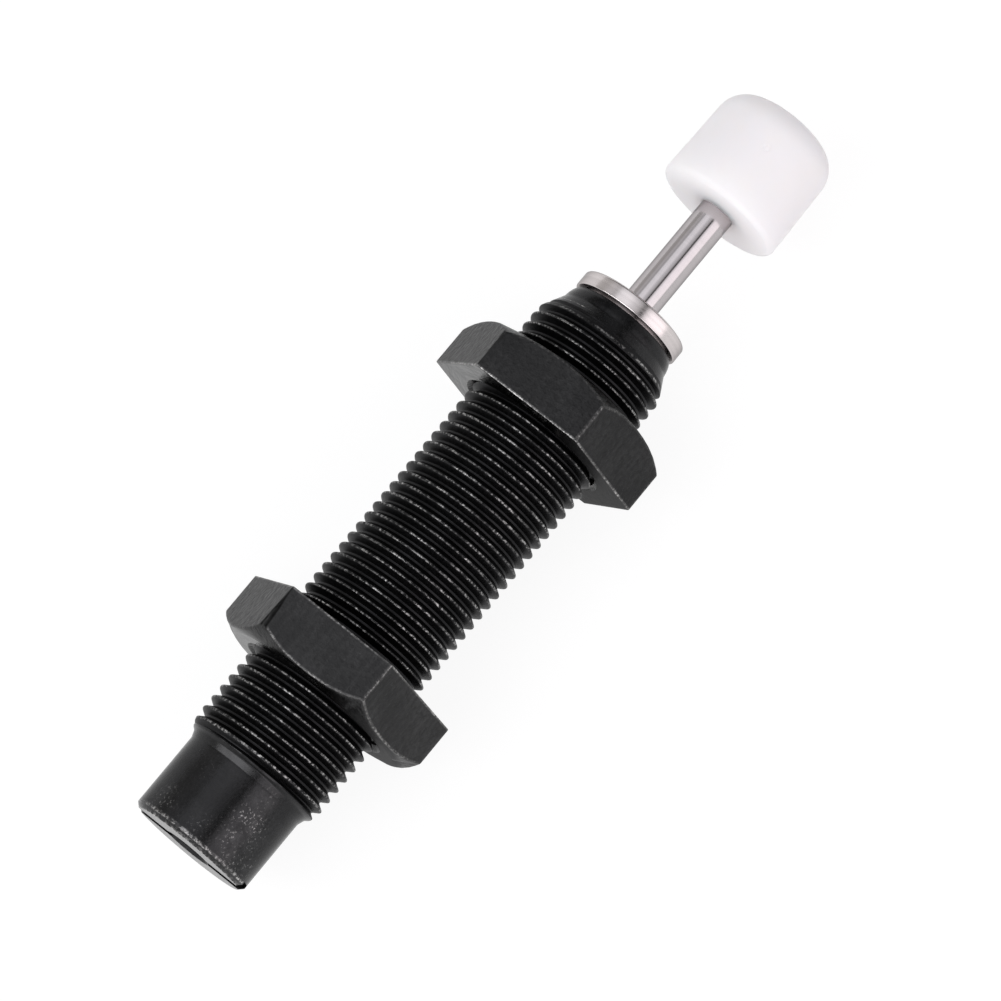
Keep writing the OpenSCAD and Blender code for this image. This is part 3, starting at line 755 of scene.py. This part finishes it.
def black_oxide(name, film=(0.033, 0.033, 0.034), rough=(0.2, 0.3), faced=0.2, grain=0.15,
                rim=0.8, amount=0.05, bare=(0.6, 0.59, 0.58), specks=0.0, streaks=0.0,
                facing=0.0, size=5200.0, polish=0.3, dull=None):
    """Black oxide over steel. The film is a dark metal that mottles slowly and in fine grains;
    bare steel shows in specks along the worn edges. Where the mesh attribute is below zero the film
    is painted darker, as painted shade for the dark reflection of a nut's rubbed corner.
    film and bare are the two colours, rough the roughness of the sides and faced that of turned
    end faces, which have rings as deep as facing. dull is the roughness of those faces where
    they stand low on the right, and polish that of the bare steel. grain and size are the height
    and the fineness of the grain. amount is how solid the worn edges are, and specks how many
    lie strewn on rubbed places and how strong the lighter haze there is, partly wear and partly
    painted sheen. streaks is how plainly the marks of drawing show along the axis,
    most of all on the flats that face +Y."""
    m, t, s = new_metal(name, rim)
    g = use(t, GRAIN, Size=size)
    # The mesh attribute: worn edges above zero, and below zero painted shade on a nut's rubbed
    # corner
    edge = node(t, "ShaderNodeAttribute", attribute_name="wear_and_shade").outputs["Fac"]
    worn = use(t, WEAR, Edge=edge, Amount=amount, Grain=4200.0)["Mask"]
    normal = parts_of(t, node(t, "ShaderNodeTexCoord").outputs["Normal"])
    end_on = remap(t, math_node(t, "ABSOLUTE", normal[0]), 0.93, 0.97)

    # The film's colour and height
    mottle = remap(t, g["Mottle"], 0.3, 0.7)
    tone = mix_colour(t, mottle, shade(film, 0.82), shade(film, 1.2))
    tone = mix_colour(t, remap(t, g["Height"], 0.35, 0.65), shade(film, 0.75), tone)
    height = times(t, g["Height"], grain)
    if streaks:
        marks = use(t, DRAWN)["Streak"]
        plain = remap(t, normal[1], 0.1, 0.7, streaks, streaks * 3.0)
        for lo, hi, share in ((0.52, 0.68, 1.9), (0.48, 0.34, 0.5)):
            mark = times(t, remap(t, marks, lo, hi), plain, clamp=True)
            tone = mix_colour(t, mark, tone, shade(film, share))
        height = plus(t, height, times(t, marks, times(t, plain, 0.7)))
    if facing:
        rings = use(t, LINES, Pitch=1500.0, Around=260.0)["Height"]
        faces = plus(t, times(t, rings, facing), times(t, g["Mottle"], facing))
        height = remap(t, end_on, 0, 1, height, faces)

    # Painted shade on a nut's rubbed corner, where the attribute is below zero; haze, partly wear
    # and partly painted sheen; and bare steel
    tone = mix_colour(t, remap(t, edge, -0.2, -1.0), tone, shade(film, 0.22))
    mask = worn
    if specks:
        rubbed = use(t, SPECKS, Share=specks)
        # Lighter haze on rubbed places: partly wear, partly a painted sheen
        tone = mix_colour(t, rubbed["HazeAndSheen"], tone, shade(film, 2.2))
        mask = math_node(t, "MAXIMUM", worn, times(t, rubbed["Mask"], 0.75))
    feed(t, s.inputs["Base Color"], mix_colour(t, mask, tone, bare))

    # Roughness of the sides, of the end faces and of the worn edges
    side = remap(t, g["Height"], 0.3, 0.7, *rough)
    if dull:
        right = parts_of(t, object_point(t))[1]
        faced = remap(t, right, -2 * MM, -5 * MM, faced, dull)
    oxide = remap(t, end_on, 0, 1, side, faced)
    feed(t, s.inputs["Roughness"], remap(t, worn, 0, 1, oxide, polish))
    bump(t, s, height, 1.0, 0.00006)
    return m


def turned_metal(name, colour, rough=(0.2, 0.34), lines=0.25, tint=0.8, rim=1.0):
    """Bare or plated metal with the fine rings of turning."""
    m, t, s = new_metal(name, rim)
    rings = use(t, LINES, Pitch=9000.0, Around=70.0)
    tone = mix_colour(t, remap(t, rings["Streak"], 0.35, 0.65), shade(colour, tint), colour)
    feed(t, s.inputs["Base Color"], tone)
    feed(t, s.inputs["Roughness"], remap(t, rings["Height"], 0.3, 0.7, *rough))
    bump(t, s, rings["Height"], lines, 0.000006)
    return m


def moulded_nylon(name):
    """White nylon: slightly warm in patches, faint moulding grain, soft light below the skin, and
    a few dark specks of dust."""
    m, t, s = new_material(name)
    g = use(t, GRAIN, Size=2600.0)
    mottle = remap(t, g["Mottle"], 0.3, 0.7)
    tone = mix_colour(t, mottle, (0.835, 0.8, 0.825), (0.845, 0.805, 0.803))
    dust = remap(t, noise(t, object_point(t), 1500.0, 1.0), 0.815, 0.84)
    feed(t, s.inputs["Base Color"], mix_colour(t, dust, tone, (0.45, 0.4, 0.4)))
    feed(t, s.inputs["Roughness"], remap(t, g["Height"], 0.3, 0.7, 0.58, 0.66))
    s.inputs["IOR"].default_value = 1.35
    s.inputs["Subsurface Weight"].default_value = 1.0
    s.inputs["Subsurface Radius"].default_value = (1.0, 0.9, 0.88)
    s.inputs["Subsurface Scale"].default_value = 0.009
    bump(t, s, g["Height"], 0.08, 0.00003)
    return m


def soft_rubber(name, colour, rough):
    """Nitrile rubber or closed-cell foam: dull, with a fine or coarse grain."""
    m, t, s = new_material(name)
    g = use(t, GRAIN, Size=3000.0)
    tone = mix_colour(t, remap(t, g["Height"], 0.3, 0.7), colour, shade(colour, 1.5))
    feed(t, s.inputs["Base Color"], tone)
    feed(t, s.inputs["Roughness"], remap(t, g["Mottle"], 0.3, 0.7, rough, rough + 0.15))
    bump(t, s, g["Height"], 0.3, 0.00003)
    return m


# ---- Pieces and their finishes ----

body = threaded_body()
rear_nut = jam_nut("rear_jam_nut", span("rear_nut", 0)[1], -1, skew=(0.1, 0.0106))
front_nut = jam_nut("front_jam_nut", span("front_nut", 0)[0], 1, turned=FRONT_NUT_TURN, rub=0.3,
                    skew=(-0.04, 0.0116), arc_rub=0.4)
collar = stop_ring()
rod = polished_rod()
cap = bumper()
spring = coil_spring()

body.data.materials.append(black_oxide("oxide_turned", rim=0.78, specks=0.8))
body.data.materials.append(black_oxide("oxide_thread", film=(0.024, 0.024, 0.025),
                                       rough=(0.36, 0.46), rim=0.65, amount=0.0,
                                       bare=(0.42, 0.415, 0.41)))
finish_by_station(body, *THREAD_FINISH)
NUT_OXIDE = dict(rough=(0.3, 0.44), size=2600.0, amount=0.15, dull=0.6)
rear_nut.data.materials.append(black_oxide("oxide_rear_nut", film=(0.042, 0.042, 0.0425),
                                           faced=0.26, grain=1.1, streaks=0.16, facing=0.8,
                                           **NUT_OXIDE))
front_nut.data.materials.append(black_oxide("oxide_front_nut", film=(0.034, 0.034, 0.0345),
                                            faced=0.22, grain=1.3, streaks=0.14, facing=1.0,
                                            **NUT_OXIDE))
collar.data.materials.append(turned_metal("nickel_collar", (0.66, 0.615, 0.61),
                                          rough=(0.14, 0.26), rim=0.5))
rod.data.materials.append(turned_metal("chrome_rod", (0.485, 0.455, 0.462), rough=(0.1, 0.15),
                                       lines=0.1, tint=0.94, rim=0.45))
cap.data.materials.append(moulded_nylon("nylon_cap"))

for piece, old, rides, finish in (
    (body, "outer_body", "body", "black_oxide"), (rear_nut, "rear_nut", "rear_nut", "black_oxide"),
    (front_nut, "front_nut", "front_nut", "black_oxide"), (collar, "stop_collar", "body", "nickel"),
    (rod, "piston_rod", "rod", "chrome"), (cap, "bumper_cap", "rod", "nylon"),
):
    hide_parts(old)
    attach(piece, rides)

steel = turned_metal("machined_steel", (0.5, 0.5, 0.52), rough=(0.28, 0.42))
spring.data.materials.append(turned_metal("spring_steel", (0.42, 0.42, 0.44), rough=(0.24, 0.36)))
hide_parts("return_spring")
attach(spring, "body")
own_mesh(spring)
bronze = turned_metal("sintered_bronze", (0.6, 0.42, 0.24), rough=(0.42, 0.6), lines=0.4)
rubber = soft_rubber("nitrile_rubber", (0.02, 0.02, 0.02), 0.55)
foam = soft_rubber("cell_foam", (0.1, 0.1, 0.11), 0.75)
nylon_inside = moulded_nylon("nylon_washer")
plug_oxide = black_oxide("oxide_plug", amount=0.0)
INNER = {
    "fill_plug": plug_oxide, "plug_ball": steel, "pressure_tube": steel, "spring_seat": steel,
    "rod_bearing": bronze, "accumulator_foam": foam, "gland": steel,
    "gland_o_ring": rubber, "rod_seal": rubber, "seal_backup": nylon_inside, "rod_wiper": rubber,
    "piston": steel, "valve_plate": steel, "check_ring": bronze,
}
for label, material in INNER.items():
    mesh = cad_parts[label].data
    mesh.materials.clear()
    mesh.materials.append(material)


# ---- Floor, light and camera ----

def floor():
    """Flat round floor under the nuts' lower flats, with a low wall round it far away. It throws
    back as much light as white card, and glows a little to the eye and in the metal, so that the
    object's shadow stays faint."""
    reach, wall, columns, gap = 1.45, 0.2, 96, 0.00012
    card, seen_card, glow_level = (0.78, 0.78, 0.78), (0.14, 0.14, 0.14), 0.885
    z = -NUT_HALF_AF * MM - gap
    around = ring_angles(columns)
    ring = np.stack([np.cos(around), np.sin(around)], -1) * reach
    points = np.concatenate([np.column_stack([ring, np.full(columns, v)]) for v in (z, z + wall)])
    mesh = bpy.data.meshes.new("floor")
    faces = [list(range(columns))] + grid_faces(2, columns)[:, ::-1].tolist()
    mesh.from_pydata(points.tolist(), [], faces)
    obj = bpy.data.objects.new("floor", mesh)
    bpy.context.scene.collection.objects.link(obj)
    m, t, s = new_material("floor_white")
    s.inputs["Roughness"].default_value = 0.9
    s.inputs["Specular IOR Level"].default_value = 0.0
    path = node(t, "ShaderNodeLightPath").outputs
    seen = plus(t, path["Is Camera Ray"], path["Is Glossy Ray"])
    seen = plus(t, seen, path["Is Transmission Ray"], clamp=True)
    feed(t, s.inputs["Base Color"], mix_colour(t, seen, card, seen_card))
    glow = node(t, "ShaderNodeEmission")
    feed(t, glow.inputs["Strength"], times(t, seen, glow_level))
    add = node(t, "ShaderNodeAddShader")
    feed(t, add.inputs[0], s.outputs[0])
    feed(t, add.inputs[1], glow.outputs[0])
    feed(t, t.nodes["Material Output"].inputs["Surface"], add.outputs[0])
    mesh.materials.append(m)


# Angle about the axis in degrees, from the left (-) over the top (0) to the right (+), and light
SOFTBOXES = [
    (-180, (0.8, 0.8, 0.8)), (-98, (0.78, 0.77, 0.76)), (-64, (0.56, 0.55, 0.54)),
    (-50, (0.74, 0.73, 0.74)), (-38, (0.6, 0.6, 0.61)), (-29, (1.24, 1.25, 1.29)),
    (-10, (1.33, 1.33, 1.37)), (6, (0.9, 0.9, 0.93)), (17, (0.62, 0.61, 0.62)),
    (21, (0.05, 0.05, 0.05)), (25, (0.05, 0.05, 0.05)), (32, (1.25, 1.22, 1.25)),
    (43, (1.75, 1.68, 1.73)), (76, (1.85, 1.77, 1.8)), (88, (0.85, 0.8, 0.8)),
    (110, (0.78, 0.76, 0.75)),
]
# Share of that light from behind (-1), the middle (0) and in front (1) along the axis
ALONG = [(x, (v, v, v)) for x, v in (
    (-1, 1.4), (-0.7, 1.3), (-0.46, 1.0), (-0.3, 0.8), (-0.08, 0.65), (0.08, 1.0), (0.28, 1.0),
    (0.48, 0.5), (0.65, 0.32), (1, 0.3))]


def light_ramp(tree, share, stops, lowest, highest):
    """Colour ramp over share, which is 0 at the lowest and 1 at the highest key of its stops,
    and the light that its white stands for."""
    full = max(v for _, colour in stops for v in colour)
    n = node(tree, "ShaderNodeValToRGB")
    n.color_ramp.interpolation = "EASE"
    els = n.color_ramp.elements
    while len(els) < len(stops):
        els.new(0.5)
    for e, (key, colour) in zip(els, stops):
        e.position = (key - lowest) / (highest - lowest)
        e.color = (*[c / full for c in colour], 1)
    feed(tree, n.inputs[0], share)
    return n.outputs[0], full


def studio():
    """World of two long soft boxes along the object's sides and a dim ceiling between them. The
    light of a direction depends on its angle about the object's axis, from straight down on the
    left over the top to straight down on the right, and falls off towards both ends."""
    world = bpy.data.worlds.new("studio")
    bpy.context.scene.world = world
    world.use_nodes = True
    t = world.node_tree
    back = t.nodes["Background"]
    x, y, z = parts_of(t, node(t, "ShaderNodeTexCoord").outputs["Generated"])
    turn = remap(t, math_node(t, "ARCTAN2", times(t, y, -1.0), z), -math.pi, math.pi)
    colour, colour_full = light_ramp(t, turn, SOFTBOXES, -180, 180)
    level, level_full = light_ramp(t, remap(t, x, -1.0, 1.0), ALONG, -1, 1)
    feed(t, back.inputs["Color"], colour)
    feed(t, back.inputs["Strength"], times(t, level, colour_full * level_full))


def rear_softbox():
    """Long soft box above and behind the rear end, facing the object's middle."""
    towards, distance, level = Vector((-0.5, 0.4, 0.77)).normalized(), 0.6, 2.9
    data = bpy.data.lights.new("rear_softbox", "AREA")
    data.shape = "RECTANGLE"
    data.size, data.size_y = 0.2, 0.8
    data.energy = level * math.pi * data.size * data.size_y
    lamp = bpy.data.objects.new("rear_softbox", data)
    across = Vector((1, 0, 0)).cross(towards).normalized()
    turned = Matrix([across.cross(towards), across, towards]).transposed().to_4x4()
    lamp.matrix_world = Matrix.Translation(towards * distance) @ turned
    bpy.context.scene.collection.objects.link(lamp)


def place_camera():
    """Camera above the object and a little behind its rear end, turned in its own plane."""
    data = bpy.data.cameras.new("camera")
    data.angle = 0.217611
    cam = bpy.data.objects.new("camera", data)
    right = (0.6280467, -0.77680967, -0.04608768)
    up = (0.75622788, 0.5952951, 0.27155688)
    back = (-0.18351225, -0.20540319, 0.96131825)
    at = (-0.028255, -0.072310, 0.332098)
    rows = [(right[k], up[k], back[k], at[k]) for k in range(3)]
    cam.matrix_world = Matrix(rows + [(0, 0, 0, 1)])
    bpy.context.scene.collection.objects.link(cam)
    bpy.context.scene.camera = cam


floor()
studio()
rear_softbox()
place_camera()
bpy.context.scene.view_settings.view_transform = "Standard"
